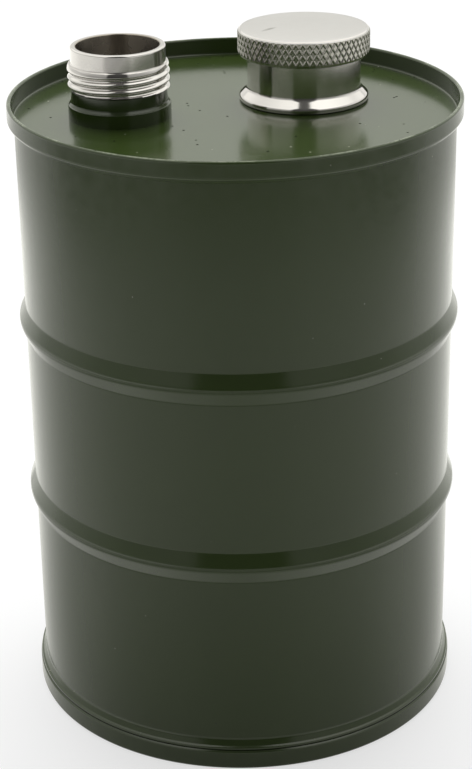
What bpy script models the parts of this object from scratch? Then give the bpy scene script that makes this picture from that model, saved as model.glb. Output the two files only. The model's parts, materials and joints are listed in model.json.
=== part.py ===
"""Drum-shaped steel flask with two threaded necks, one of them closed by a knurled screw cap.

Units are metres and +Z is up. The origin is the centre of the foot ring, on the floor.
Run it with: blender --background --python part.py
"""
import math

import bmesh
import bpy

# Drum
BODY_RADIUS = 0.0437
RIM_HEIGHT = 0.1283
SHEET = 0.0006
END_SHEET = 0.0008
SEAM_GAP = 0.0003

# Top end: a flat deck that lies below a hemmed lip, with a band round its outside
BAND_OVERHANG = 0.0013
BAND_HEIGHT = 0.0045
BAND_UNDERCUT = 0.0012
DECK_DEPTH = 0.0036
DECK_FILLET = 0.00045
LIP_THICKNESS = 0.00095

# Bottom end: a recessed pan on a foot ring
FOOT_OVERHANG = 0.00125
FOOT_THICKNESS = 0.0012
FOOT_ROUND = 0.00055
FOOT_INNER_ROUND = 0.0001
BASE_RECESS = 0.0034
CHIME_EDGE = 0.0003

# Rolled hoops round the wall, as a pair a little above its middle
HOOP_SPACING = 0.0379
HOOP_LIFT = 0.0006
HOOP_HALF_WIDTH = 0.0032
HOOP_RISE = 0.00127
HOOP_CREST_ROUND = 0.0018

# Flared lower edge of the wall: a slope, a step and a bead above the foot ring's seam
FLARE_HEIGHT = 0.0019
FLARE_RISE = 0.00065
STEP_HEIGHT = 0.00025
BEAD_HEIGHT = 0.0004
BEAD_RISE = 0.00105

# Necks: where their axes stand on the deck, and the one turned neck that both use
OPEN_NECK_PLACE = (-0.0227, -0.0017)
CAPPED_NECK_PLACE = (0.0139, 0.0087)
BORE_RADIUS = 0.0082
SPIGOT_WALL = 0.00065
SPIGOT_REACH = 0.0010
NECK_WALL = 0.0012
NECK_BAND = 0.0028
THREAD_LENGTH = 0.0049
LIP_WALL = 0.00115
LIP_BAND = 0.0034
LIP_ROUND = 0.00035
COLLAR_STEP = 0.00075
COLLAR_HEIGHT = 0.0028
COLLAR_ROUND = 0.00025
JOINT_GAP = 0.0003

# Thread: 60 degree flanks, right hand, with the same lead on the necks and in the cap
PITCH = 0.0015
THREAD_WALL = 0.0011
THREAD_DEPTH = 0.00075
THREAD_CREST = 0.0002
THREAD_OVERLAP = 0.00045
THREAD_CLEARANCE = 0.00035
THREAD_RUN_OUT = 0.00045
FLANK_ANGLE = math.radians(30)
FADE_TURN = 0.14
CAP_THREAD_SHORTER = 0.3

# Cap: a knurled head pressed on a threaded sleeve, with a liner disc inside
SLEEVE_WALL = 0.0010
FLARE_WIDTH = 0.0018
SLEEVE_FLARE_HEIGHT = 0.0021
SLEEVE_FOOT_ROUND = 0.00045
SLEEVE_FOOT_WALL = 0.0014
HEAD_WALL = 0.00155
HEAD_HEIGHT = 0.0055
HEAD_PLATE = 0.0021
HEAD_TOP_CHAMFER = 0.00035
HEAD_BOTTOM_CHAMFER = 0.0004
KNURL_DEPTH = 0.0003
KNURL_COUNT = 62
KNURL_ROWS = 4
LINER_THICKNESS = 0.00075
LINER_CLEARANCE = 0.0003

# Facets round each kind of piece
DRUM_FACETS = 64
NECK_FACETS = 32
ARC_STEPS = 4
HOOP_STEPS = 4
FLARE_STEPS = 3

# Sizes of the drum that follow from those above
RIM_RADIUS = BODY_RADIUS + BAND_OVERHANG
FOOT_RADIUS = BODY_RADIUS + FOOT_OVERHANG
DECK_LEVEL = RIM_HEIGHT - DECK_DEPTH
DECK_UNDERSIDE = DECK_LEVEL - END_SHEET
BASE_TOP = BASE_RECESS + END_SHEET
WALL_TOP = DECK_UNDERSIDE - SEAM_GAP
WALL_BOTTOM = BASE_TOP + SEAM_GAP
HOOP_MIDDLE = 0.5 * (WALL_TOP + WALL_BOTTOM) + HOOP_LIFT

# Sizes of the necks that follow, with heights from the neck's own shoulder
SPIGOT_RADIUS = BORE_RADIUS + SPIGOT_WALL
SPIGOT_HOLE_RADIUS = SPIGOT_RADIUS + JOINT_GAP
SPIGOT_LENGTH = COLLAR_HEIGHT + JOINT_GAP + END_SHEET + SPIGOT_REACH
NECK_RADIUS = BORE_RADIUS + NECK_WALL
LIP_BAND_RADIUS = BORE_RADIUS + LIP_WALL
COLLAR_RADIUS = NECK_RADIUS + COLLAR_STEP
THREAD_ROOT = BORE_RADIUS + THREAD_WALL
THREAD_MAJOR = THREAD_ROOT + THREAD_DEPTH
THREAD_TOP = NECK_BAND + THREAD_LENGTH
THREAD_START = NECK_BAND + THREAD_RUN_OUT
THREAD_TURNS = (THREAD_LENGTH - 2 * THREAD_RUN_OUT) / PITCH
NECK_TOP = THREAD_TOP + LIP_BAND

# Sizes of the cap that follow, with heights from the deck
CAP_CREST = THREAD_MAJOR - THREAD_OVERLAP
CAP_ROOT = THREAD_MAJOR + THREAD_CLEARANCE
SLEEVE_RADIUS = CAP_ROOT + SLEEVE_WALL
HEAD_RECESS_RADIUS = SLEEVE_RADIUS + JOINT_GAP
HEAD_RADIUS = HEAD_RECESS_RADIUS + HEAD_WALL
LINER_BOTTOM = JOINT_GAP + NECK_TOP + JOINT_GAP
LINER_TOP = LINER_BOTTOM + LINER_THICKNESS
HEAD_CEILING = LINER_TOP + JOINT_GAP
HEAD_TOP = HEAD_CEILING + HEAD_PLATE
HEAD_UNDERSIDE = HEAD_TOP - HEAD_HEIGHT
SLEEVE_TOP = HEAD_CEILING - JOINT_GAP

PAINT = ("drum_paint", (0.050, 0.066, 0.030), 0.42, 0.0)
STEEL = ("polished_steel", (0.62, 0.60, 0.57), 0.16, 1.0)
SATIN_STEEL = ("satin_steel", (0.62, 0.60, 0.57), 0.32, 1.0)
SILICONE = ("liner_silicone", (0.75, 0.75, 0.72), 0.60, 0.0)


def clear_scene():
    """Remove whatever the open file holds."""
    for item in list(bpy.data.objects):
        bpy.data.objects.remove(item, do_unlink=True)


def material(spec):
    """Return the Principled material of one finish, made once."""
    name, colour, roughness, metallic = spec
    found = bpy.data.materials.get(name)
    if found:
        return found
    made = bpy.data.materials.new(name)
    made.use_nodes = True
    shader = made.node_tree.nodes["Principled BSDF"]
    shader.inputs["Base Color"].default_value = (*colour, 1.0)
    shader.inputs["Roughness"].default_value = roughness
    shader.inputs["Metallic"].default_value = metallic
    return made


def ring(bm, radius, height, facets):
    """Add one horizontal ring of points round the axis."""
    points = []
    for index in range(facets):
        angle = math.tau * index / facets
        points.append(bm.verts.new((radius * math.cos(angle), radius * math.sin(angle), height)))
    return points


def bridge(bm, low, high):
    """Join two rings of the same number of points with a band of faces."""
    count = len(low)
    for index in range(count):
        following = (index + 1) % count
        bm.faces.new((low[index], low[following], high[following], high[index]))


def bridge_all(bm, rings, closed):
    """Join each ring to the next one, and the last to the first where the piece is a tube."""
    for low, high in zip(rings, rings[1:]):
        bridge(bm, low, high)
    if closed:
        bridge(bm, rings[-1], rings[0])


def arc(centre_radius, centre_height, radius, height, start, end, steps=ARC_STEPS):
    """Points of an elliptical arc in the outline plane, angles in degrees from the outward direction."""
    points = []
    for index in range(steps + 1):
        angle = math.radians(start + (end - start) * index / steps)
        point_radius = centre_radius + radius * math.cos(angle)
        point_height = centre_height + height * math.sin(angle)
        points.append((point_radius, point_height))
    return points


def finish(bm, name, finish_spec, place=(0.0, 0.0, 0.0), parent=None):
    """Turn a closed mesh into a smooth-shaded object at its place."""
    bmesh.ops.recalc_face_normals(bm, faces=bm.faces)
    mesh = bpy.data.meshes.new(name)
    bm.to_mesh(mesh)
    bm.free()
    mesh.shade_smooth()
    mesh.set_sharp_from_angle(angle=math.radians(35))
    mesh.materials.append(material(finish_spec))
    return add_object(mesh, name, place, parent)


def add_object(mesh, name, place, parent):
    """Place a mesh as an object of its own."""
    made = bpy.data.objects.new(name, mesh)
    bpy.context.collection.objects.link(made)
    made.location = place
    made.parent = parent
    return made


def turned_tube(outline, facets):
    """Revolve a closed outline that stays clear of the axis."""
    bm = bmesh.new()
    rings = [ring(bm, radius, height, facets) for radius, height in outline]
    bridge_all(bm, rings, closed=True)
    return bm


def turned_disc(outline, facets):
    """Revolve an outline that starts and ends on flat faces across the axis."""
    bm = bmesh.new()
    rings = [ring(bm, radius, height, facets) for radius, height in outline]
    bridge_all(bm, rings, closed=False)
    bm.faces.new(rings[0])
    bm.faces.new(list(reversed(rings[-1])))
    return bm


def hoop_outline(centre):
    """Outline points of one rolled hoop: straight slopes on both sides of a rounded crest."""
    slope = math.atan(HOOP_RISE / HOOP_HALF_WIDTH)
    crest_radius = BODY_RADIUS + HOOP_RISE
    points = [(BODY_RADIUS, centre - HOOP_HALF_WIDTH)]
    for index in range(HOOP_STEPS + 1):
        angle = slope * (2 * index / HOOP_STEPS - 1)
        radius = crest_radius - HOOP_CREST_ROUND * (1 - math.cos(angle))
        points.append((radius, centre + HOOP_CREST_ROUND * math.sin(angle)))
    points.append((BODY_RADIUS, centre + HOOP_HALF_WIDTH))
    return points


def wall_outline():
    """Outer outline of the drum's wall, from the bead above the foot ring to the top edge."""
    bead_top = WALL_BOTTOM + BEAD_HEIGHT
    points = [(BODY_RADIUS + BEAD_RISE, WALL_BOTTOM), (BODY_RADIUS + BEAD_RISE, bead_top)]
    for index in range(FLARE_STEPS + 1):
        share = index / FLARE_STEPS
        radius = BODY_RADIUS + FLARE_RISE * (1 - share) ** 2
        points.append((radius, bead_top + STEP_HEIGHT + FLARE_HEIGHT * share))
    points += hoop_outline(HOOP_MIDDLE - 0.5 * HOOP_SPACING)
    points += hoop_outline(HOOP_MIDDLE + 0.5 * HOOP_SPACING)
    points.append((BODY_RADIUS, WALL_TOP))
    return points


def make_drum_wall():
    """The rolled wall: one sheet with two hoops and a flared lower edge."""
    outside = wall_outline()
    inside = [(radius - SHEET, height) for radius, height in reversed(outside)]
    finish(turned_tube(outside + inside, DRUM_FACETS), "drum_wall", PAINT)


def cut_round_hole(target, name, place, radius, low, high):
    """Cut an upright round hole through a piece."""
    bm = turned_disc([(radius, low), (radius, high)], NECK_FACETS)
    cutter = finish(bm, name, PAINT, (place[0], place[1], 0.0))
    cutter.hide_render = True
    cutter.display_type = "WIRE"
    cut = target.modifiers.new(name, "BOOLEAN")
    cut.operation = "DIFFERENCE"
    cut.solver = "EXACT"
    cut.object = cutter


def make_top_end():
    """The top end: flat deck, upright lip, band outside, and a hole for each neck."""
    lip_inner = RIM_RADIUS - LIP_THICKNESS
    crest_round = 0.5 * LIP_THICKNESS
    undercut_top = RIM_HEIGHT - BAND_HEIGHT + BAND_UNDERCUT
    fillet_centre = DECK_LEVEL + DECK_FILLET
    outline = arc(lip_inner - DECK_FILLET, fillet_centre, DECK_FILLET, DECK_FILLET, -90, 0, 2)
    outline += arc(lip_inner + crest_round, RIM_HEIGHT - crest_round, crest_round, crest_round, 180, 0)
    outline += arc(BODY_RADIUS, undercut_top, BAND_OVERHANG, BAND_UNDERCUT, 0, -90, 3)
    outline.append((BODY_RADIUS, DECK_UNDERSIDE))
    made = finish(turned_disc(outline, DRUM_FACETS), "top_end", PAINT)
    below = DECK_UNDERSIDE - END_SHEET
    above = DECK_LEVEL + END_SHEET
    cut_round_hole(made, "open_neck_hole", OPEN_NECK_PLACE, SPIGOT_HOLE_RADIUS, below, above)
    cut_round_hole(made, "capped_neck_hole", CAPPED_NECK_PLACE, SPIGOT_HOLE_RADIUS, below, above)


def make_bottom_end():
    """The bottom end: a recessed pan with the foot ring that the flask stands on."""
    foot_inner = FOOT_RADIUS - FOOT_THICKNESS
    outline = [(FOOT_RADIUS - CHIME_EDGE, BASE_TOP), (FOOT_RADIUS, BASE_TOP - CHIME_EDGE)]
    outline += arc(FOOT_RADIUS - FOOT_ROUND, FOOT_ROUND, FOOT_ROUND, FOOT_ROUND, 0, -90, 3)
    outline.append((foot_inner + FOOT_INNER_ROUND, 0.0))
    outline.append((foot_inner, FOOT_INNER_ROUND))
    pan_edge = foot_inner - DECK_FILLET
    outline += arc(pan_edge, BASE_RECESS - DECK_FILLET, DECK_FILLET, DECK_FILLET, 0, 90, 2)
    finish(turned_disc(outline, DRUM_FACETS), "bottom_end", PAINT)


def make_neck_collar():
    """The thick ring that stands on the deck round the open neck's spigot."""
    top = COLLAR_HEIGHT
    outline = [(SPIGOT_HOLE_RADIUS, JOINT_GAP), (COLLAR_RADIUS, JOINT_GAP)]
    outline += [(COLLAR_RADIUS, top - COLLAR_ROUND), (COLLAR_RADIUS - COLLAR_ROUND, top)]
    outline.append((SPIGOT_HOLE_RADIUS, top))
    place = (*OPEN_NECK_PLACE, DECK_LEVEL)
    finish(turned_tube(outline, NECK_FACETS), "neck_collar", PAINT, place)


def fade(turn, turns):
    """Height of the thread ridge, from 0 to 1, where it runs in and out."""
    nearest = min(turn, turns - turn)
    return max(0.0, min(1.0, 0.5 + nearest / FADE_TURN))


def thread_between(bm, low, high, bottom, top, root, crest, phase, turns):
    """Wind a right-hand thread between two rings.

    The ridge's middle is at height phase + PITCH * turn, for turn from 0 to turns, and the rows
    of points follow the helix, so its flanks are true at every angle.
    """
    facets = len(low)
    depth = abs(crest - root)
    crest_half = 0.5 * THREAD_CREST
    base_half = crest_half + depth * math.tan(FLANK_ANGLE)
    offsets = (-base_half, -crest_half, crest_half, base_half)
    nearness = 0.04 * PITCH
    points = {}

    def point(column, row):
        if column == facets:
            return point(0, row + len(offsets))
        turn = row // len(offsets) + column / facets
        height = phase + PITCH * turn + offsets[row % len(offsets)]
        if height < bottom + nearness:
            return low[column]
        if height > top - nearness:
            return high[column]
        if (column, row) not in points:
            on_crest = row % len(offsets) in (1, 2)
            share = fade(turn, turns) if on_crest else 0.0
            radius = root + (crest - root) * share
            angle = math.tau * column / facets
            place = (radius * math.cos(angle), radius * math.sin(angle), height)
            points[column, row] = bm.verts.new(place)
        return points[column, row]

    first_row = len(offsets) * (math.floor((bottom - phase) / PITCH) - 2)
    last_row = len(offsets) * (math.ceil((top - phase) / PITCH) + 2)
    for column in range(facets):
        for row in range(first_row, last_row):
            corners = [point(column, row), point(column + 1, row)]
            corners += [point(column + 1, row + 1), point(column, row + 1)]
            distinct = list(dict.fromkeys(corners))
            if len(distinct) > 2:
                bm.faces.new(distinct)


def neck_mesh():
    """The turned neck: spigot, plain band, thread and lip, round a straight bore.

    Height 0 is the shoulder that the neck stands on.
    """
    bm = bmesh.new()
    low_ring = ring(bm, THREAD_ROOT, NECK_BAND, NECK_FACETS)
    high_ring = ring(bm, THREAD_ROOT, THREAD_TOP, NECK_FACETS)
    thread_between(bm, low_ring, high_ring, NECK_BAND, THREAD_TOP,
                   THREAD_ROOT, THREAD_MAJOR, THREAD_START, THREAD_TURNS)
    above = [(LIP_BAND_RADIUS, THREAD_TOP), (LIP_BAND_RADIUS, NECK_TOP - LIP_ROUND)]
    above.append((LIP_BAND_RADIUS - LIP_ROUND, NECK_TOP))
    above.append((BORE_RADIUS, NECK_TOP))
    below = [(BORE_RADIUS, -SPIGOT_LENGTH), (SPIGOT_RADIUS, -SPIGOT_LENGTH), (SPIGOT_RADIUS, 0.0)]
    below += [(NECK_RADIUS, 0.0), (NECK_RADIUS, NECK_BAND)]
    rings = [high_ring]
    rings += [ring(bm, radius, height, NECK_FACETS) for radius, height in above + below]
    rings.append(low_ring)
    bridge_all(bm, rings, closed=False)
    return bm


def make_necks():
    """The open neck on its collar, and the same neck straight on the deck under the cap."""
    open_place = (*OPEN_NECK_PLACE, DECK_LEVEL + COLLAR_HEIGHT + JOINT_GAP)
    capped_place = (*CAPPED_NECK_PLACE, DECK_LEVEL + JOINT_GAP)
    first = finish(neck_mesh(), "open_neck", STEEL, open_place)
    add_object(first.data, "capped_neck", capped_place, None)


def make_cap_axis():
    """The upright axis that the cap turns about and rises along, at deck level."""
    axis = bpy.data.objects.new("cap_axis", None)
    bpy.context.collection.objects.link(axis)
    axis.location = (*CAPPED_NECK_PLACE, DECK_LEVEL)
    return axis


def make_cap_sleeve(axis):
    """The smooth skirt with its flared foot, threaded inside to run on the neck."""
    bm = bmesh.new()
    phase = JOINT_GAP + THREAD_START + 0.5 * PITCH
    turns = THREAD_TURNS - CAP_THREAD_SHORTER
    bottom = phase - THREAD_RUN_OUT
    top = phase + PITCH * turns + THREAD_RUN_OUT
    low_ring = ring(bm, CAP_ROOT, bottom, NECK_FACETS)
    high_ring = ring(bm, CAP_ROOT, top, NECK_FACETS)
    thread_between(bm, low_ring, high_ring, bottom, top, CAP_ROOT, CAP_CREST, phase, turns)
    foot = JOINT_GAP
    flare_radius = SLEEVE_RADIUS + FLARE_WIDTH
    flare_top = foot + SLEEVE_FLARE_HEIGHT
    foot_middle = foot + SLEEVE_FOOT_ROUND
    foot_centre = flare_radius - SLEEVE_FOOT_ROUND
    foot_inner = flare_radius - SLEEVE_FOOT_WALL
    outline = [(CAP_ROOT, SLEEVE_TOP), (SLEEVE_RADIUS, SLEEVE_TOP)]
    outline += arc(flare_radius, flare_top, FLARE_WIDTH, flare_top - foot_middle, 180, 235, 3)
    outline += arc(foot_centre, foot_middle, SLEEVE_FOOT_ROUND, SLEEVE_FOOT_ROUND, 40, -90)
    outline += [(foot_inner, foot), (CAP_ROOT, flare_top)]
    rings = [high_ring]
    rings += [ring(bm, radius, height, NECK_FACETS) for radius, height in outline]
    rings.append(low_ring)
    bridge_all(bm, rings, closed=False)
    finish(bm, "cap_sleeve", STEEL, parent=axis)


def knurl_ring(bm, height, row):
    """One row of the knurl: ridges cross at every second point, and the points between lie low."""
    points = []
    columns = 2 * KNURL_COUNT
    for column in range(columns):
        low = (column + row) % 2
        radius = HEAD_RADIUS - KNURL_DEPTH * low
        angle = math.tau * column / columns
        points.append(bm.verts.new((radius * math.cos(angle), radius * math.sin(angle), height)))
    return points


def bridge_knurl(bm, low, high, row):
    """Join two knurl rows with triangles, so that each ridge runs from crossing to crossing."""
    count = len(low)
    for column in range(count):
        following = (column + 1) % count
        if (column + row) % 2 == 0:
            bm.faces.new((low[column], low[following], high[following]))
            bm.faces.new((low[column], high[following], high[column]))
        else:
            bm.faces.new((low[column], low[following], high[column]))
            bm.faces.new((low[following], high[following], high[column]))


def make_cap_head(axis):
    """The round head: flat top, diamond knurl round the edge, and a recess for the sleeve."""
    bm = bmesh.new()
    facets = 2 * KNURL_COUNT
    knurl_bottom = HEAD_UNDERSIDE + HEAD_BOTTOM_CHAMFER
    knurl_top = HEAD_TOP - HEAD_TOP_CHAMFER
    inside = [(HEAD_RECESS_RADIUS, HEAD_CEILING), (HEAD_RECESS_RADIUS, HEAD_UNDERSIDE)]
    inside.append((HEAD_RADIUS - HEAD_BOTTOM_CHAMFER, HEAD_UNDERSIDE))
    rings = [ring(bm, radius, height, facets) for radius, height in inside]
    bm.faces.new(rings[0])
    bridge_all(bm, rings, closed=False)
    step = (knurl_top - knurl_bottom) / KNURL_ROWS
    rows = [knurl_ring(bm, knurl_bottom + step * row, row) for row in range(KNURL_ROWS + 1)]
    bridge(bm, rings[-1], rows[0])
    for row in range(KNURL_ROWS):
        bridge_knurl(bm, rows[row], rows[row + 1], row)
    top_radius = HEAD_RADIUS - KNURL_DEPTH - HEAD_TOP_CHAMFER
    top_ring = ring(bm, top_radius, HEAD_TOP, facets)
    bridge(bm, rows[-1], top_ring)
    bm.faces.new(top_ring)
    finish(bm, "cap_head", SATIN_STEEL, parent=axis)


def make_cap_liner(axis):
    """The silicone disc that the cap presses on the neck's lip."""
    radius = CAP_ROOT - LINER_CLEARANCE
    outline = [(radius, LINER_BOTTOM), (radius, LINER_TOP)]
    finish(turned_disc(outline, NECK_FACETS), "cap_liner", SILICONE, parent=axis)


def main():
    clear_scene()
    make_drum_wall()
    make_top_end()
    make_bottom_end()
    make_neck_collar()
    make_necks()
    cap_axis = make_cap_axis()
    make_cap_sleeve(cap_axis)
    make_cap_head(cap_axis)
    make_cap_liner(cap_axis)


main()
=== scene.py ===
"""Drum-shaped flask: fine surfaces, finishes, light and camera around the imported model.

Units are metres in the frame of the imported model: +Z is up, and the origin is the centre of the
foot ring, on the floor.
"""
import json
import math

import bmesh
import bpy
from mathutils import Matrix, Vector


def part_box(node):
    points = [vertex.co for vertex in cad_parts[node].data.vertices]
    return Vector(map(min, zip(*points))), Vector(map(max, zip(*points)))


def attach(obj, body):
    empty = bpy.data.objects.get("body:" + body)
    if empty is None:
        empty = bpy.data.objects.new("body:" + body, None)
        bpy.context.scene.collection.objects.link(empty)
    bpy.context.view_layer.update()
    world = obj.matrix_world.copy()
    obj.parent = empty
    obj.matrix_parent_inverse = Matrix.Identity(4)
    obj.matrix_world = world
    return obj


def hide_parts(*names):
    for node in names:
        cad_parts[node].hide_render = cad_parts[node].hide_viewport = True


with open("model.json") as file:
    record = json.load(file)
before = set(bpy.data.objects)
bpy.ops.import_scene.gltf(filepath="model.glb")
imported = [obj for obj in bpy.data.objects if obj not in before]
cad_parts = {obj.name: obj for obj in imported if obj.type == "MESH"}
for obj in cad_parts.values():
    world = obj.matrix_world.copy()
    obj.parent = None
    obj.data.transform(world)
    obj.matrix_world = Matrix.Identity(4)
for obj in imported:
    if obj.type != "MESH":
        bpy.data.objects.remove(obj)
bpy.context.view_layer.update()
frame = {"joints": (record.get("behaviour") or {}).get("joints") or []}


def joint_place(name):
    """Where the record puts a joint."""
    return next(Vector(joint["pos_m"]) for joint in frame["joints"] if joint["name"] == name)


# Drum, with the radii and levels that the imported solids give
TOP_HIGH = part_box("top_end")[1]
WALL_LOW, WALL_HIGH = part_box("drum_wall")
BASE_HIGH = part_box("bottom_end")[1]
CAP_AXIS = joint_place("cap_turn")
RIM_RADIUS = TOP_HIGH.x
RIM_HEIGHT = TOP_HIGH.z
DECK_LEVEL = CAP_AXIS.z
FOOT_RADIUS = BASE_HIGH.x
BODY_RADIUS = 0.0437
SHEET = 0.0006
END_SHEET = 0.0008
DECK_UNDERSIDE = DECK_LEVEL - END_SHEET

# Top end
BAND_HEIGHT = 0.0045
BAND_UNDERCUT = 0.0012
BAND_EDGE_ROUND = 0.00075
BAND_FOOT_WIDTH = 0.0002
BAND_FOOT_LIFT = 0.0001
BAND_FOOT_ROUND = 0.0004
LIP_THICKNESS = 0.00095
LIP_CREST_ROUND = 0.49 * LIP_THICKNESS
DECK_FILLET = 0.00045
CREASE_WIDTH = 0.00012

# Hoops, flare and foot of the drum
HOOP_SPACING = 0.0379
HOOP_LIFT = 0.0006
HOOP_HALF_WIDTH = 0.0032
HOOP_RISE = 0.00127
HOOP_CREST_ROUND = 0.0018
HOOP_CREASE_ROUND = 0.0006
HOOP_FOOT_ROUND = 0.0010
FLARE_HEIGHT = 0.00114
FLARE_RISE = 0.00065
FLARE_TOP_ROUND = 0.0012
FLARE_FOOT_ROUND = 0.00012
STEP_HEIGHT = 0.00025
BEAD_HEIGHT = 0.0004
BEAD_RISE = 0.00105
BEAD_ROUND = 0.00025
FOOT_THICKNESS = 0.0012
FOOT_ROUND = 0.00055
FOOT_INNER_ROUND = 0.0002
CHIME_EDGE = 0.0003
PAN_FLAT = 0.004
BASE_RECESS = BASE_HIGH.z - END_SHEET
HOOP_MIDDLE = 0.5 * (WALL_LOW.z + WALL_HIGH.z) + HOOP_LIFT

# Necks, with heights from the neck's own shoulder
COLLAR_LOW, COLLAR_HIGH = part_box("neck_collar")
NECK_LOW, NECK_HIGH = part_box("open_neck")
NECK_MIDDLE = 0.5 * (NECK_LOW + NECK_HIGH)
OPEN_NECK_AXIS = Vector((NECK_MIDDLE.x, NECK_MIDDLE.y, 0.0))
BORE_RADIUS = 0.0082
SPIGOT_WALL = 0.00065
SPIGOT_REACH = 0.0010
NECK_WALL = 0.0012
NECK_BAND = 0.0028
THREAD_LENGTH = 0.0049
LIP_WALL = 0.00115
LIP_BAND = 0.0034
LIP_ROUND = 0.00035
LIP_TAPER = 0.00003
LIP_BAND_FOOT = 0.0002
LIP_FOOT_FILLET = 0.0001
BORE_EDGE_ROUND = 0.00022
COLLAR_HEIGHT = COLLAR_HIGH.z - DECK_LEVEL
COLLAR_RADIUS = 0.5 * (COLLAR_HIGH.x - COLLAR_LOW.x)
COLLAR_ROUND = 0.0002
FILLET_HEIGHT = 0.0005
FILLET_ROUND = 0.0006
FILLET_SPREAD = 0.00017
PAINT_TAPER = 0.0001
PAINT_COVER = 0.0001
EDGE_ROUND = 0.0001
JOINT_GAP = 0.0003

# Threads
PITCH = 0.0015
THREAD_WALL = 0.0011
THREAD_DEPTH = 0.00075
WORN_THREAD_DEPTH = 0.00058
THREAD_CREST = 0.0002
THREAD_RUN_OUT = 0.00045
THREAD_OVERLAP = 0.00045
THREAD_CLEARANCE = 0.00035
FLANK_ANGLE = math.radians(30)
THREAD_SHIFT = 0.0004
THREAD_FADE = 0.12
THREAD_ROWS = 20
MERGE_DISTANCE = 0.3 * PITCH / THREAD_ROWS
RIDGE_ROUNDING = 0.35
# Turns above the phase at which the ridge runs in and the groove runs out, which the cap's doesn't
NECK_TURNS = (-1.0, 2.6)
CAP_TURNS = (0.0, 9.0)
CAP_THREAD_SHORTENING = 0.0006
LAND_HEIGHT = 0.0011
LAND_DROP = 0.0003
LAND_EDGE = 0.00005
LAND_CHAMFER = 0.00006

# Cap, with heights from the deck
SLEEVE_WALL = 0.0010
FLARE_WIDTH = 0.0018
FLARE_SHOULDER = 0.0008
SLEEVE_FLARE_HEIGHT = 0.0021
SLEEVE_FOOT_ROUND = 0.0008
SLEEVE_FOOT_WALL = 0.0014
SLEEVE_FOOT_LEVEL = 0.0001
SLEEVE_FOOT_TUCK = 0.0003
SLEEVE_TUCK_ROUND = 0.00015
SLEEVE_FILLET_LIFT = 0.0002
SLEEVE_FILLET_ROUND = 0.001
SLEEVE_BEAD = 0.0004
SLEEVE_BEAD_GAP = 0.0001
HEAD_LOW, HEAD_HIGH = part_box("cap_head")
HEAD_RADIUS = 0.5 * (HEAD_HIGH.x - HEAD_LOW.x)
HEAD_TOP = HEAD_HIGH.z - DECK_LEVEL
HEAD_UNDERSIDE = HEAD_LOW.z - DECK_LEVEL
HEAD_PLATE = 0.0021
HEAD_DOME = 0.0004
HEAD_TOP_CHAMFER = 0.0003
HEAD_TOP_EDGE = 0.00036
HEAD_BOTTOM_CHAMFER = 0.0004
HEAD_RECESS_PLAY = 0.0001
KNURL_DEPTH = 0.0002
KNURL_COUNT = 62
KNURL_ROWS = 4
KNURL_STEPS = 10
KNURL_RIDGE = 0.32

# Liner
LINER_ROUND = 0.00025
LINER_EDGE = 0.001

# Fineness of the meshes
DRUM_FACETS = 288
NECK_FACETS = 192
DOME_STEPS = 12
ARC_STEP = math.radians(10)
BRACE = 0.00008
SHARP_ANGLE = math.radians(38)

# Camera, fitted to the photograph
IMAGE_HEIGHT_PX = 769
FOCAL_PX = 1993.4
SENSOR_MM = 36.0
CLIP_START = 0.01
VIEW_ELEVATION = math.radians(23.938)
VIEW_ROLL = math.radians(-1.0328)
VIEW_DISTANCE = 0.41868
VIEW_TARGET = Vector((-0.00084, 0.0, 0.06538))

# Radii and levels that follow from those above
SPIGOT_RADIUS = BORE_RADIUS + SPIGOT_WALL
SPIGOT_HOLE_RADIUS = SPIGOT_RADIUS + JOINT_GAP
SPIGOT_LENGTH = COLLAR_HEIGHT + END_SHEET + SPIGOT_REACH
NECK_RADIUS = BORE_RADIUS + NECK_WALL
LIP_BAND_RADIUS = BORE_RADIUS + LIP_WALL
THREAD_ROOT = BORE_RADIUS + THREAD_WALL
THREAD_MAJOR = THREAD_ROOT + THREAD_DEPTH
THREAD_TOP = NECK_BAND + THREAD_LENGTH
THREAD_START = NECK_BAND + THREAD_RUN_OUT
THREAD_PHASE = THREAD_START - THREAD_SHIFT
NECK_TOP = THREAD_TOP + LIP_BAND
CAP_CREST = THREAD_MAJOR - THREAD_OVERLAP
CAP_ROOT = THREAD_MAJOR + THREAD_CLEARANCE
SLEEVE_RADIUS = CAP_ROOT + SLEEVE_WALL
FLARE_RADIUS = SLEEVE_RADIUS + FLARE_WIDTH
KNURL_FLOOR = HEAD_RADIUS - KNURL_DEPTH


def braced(points, closed):
    """Add a point close to each end of each long straight run, so that it shades as straight."""
    outline = []
    for index, point in enumerate(points):
        outline.append(point)
        if index == len(points) - 1 and not closed:
            break
        following = points[(index + 1) % len(points)]
        run = following - point
        if run.length > 4 * BRACE:
            outline.append(point + BRACE * run.normalized())
            outline.append(following - BRACE * run.normalized())
    return outline


def soften(corners, closed=False):
    """Outline of a profile whose corners, given as (radius, height, rounding), are rounded."""
    points = []
    for index, (radius, height, rounding) in enumerate(corners):
        corner = Vector((radius, height))
        at_end = not closed and index in (0, len(corners) - 1)
        if rounding == 0 or at_end:
            points.append(corner)
            continue
        before = (Vector(corners[index - 1][:2]) - corner).normalized()
        after = (Vector(corners[(index + 1) % len(corners)][:2]) - corner).normalized()
        half = 0.5 * before.angle(after)
        centre = corner + (before + after).normalized() * rounding / math.sin(half)
        arm = corner + before * rounding / math.tan(half) - centre
        last_arm = corner + after * rounding / math.tan(half) - centre
        sweep = math.copysign(math.pi - 2 * half, arm.cross(last_arm))
        steps = max(2, math.ceil(abs(sweep) / ARC_STEP))
        for step in range(steps + 1):
            points.append(centre + Matrix.Rotation(sweep * step / steps, 2) @ arm)
    return braced(points, closed)


def ring(bm, radius, height, facets):
    """One horizontal ring of points round the axis."""
    points = []
    for index in range(facets):
        angle = math.tau * index / facets
        points.append(bm.verts.new((radius * math.cos(angle), radius * math.sin(angle), height)))
    return points


def rings_of(bm, outline, facets):
    """A ring for each point of an outline."""
    return [ring(bm, point[0], point[1], facets) for point in outline]


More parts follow.
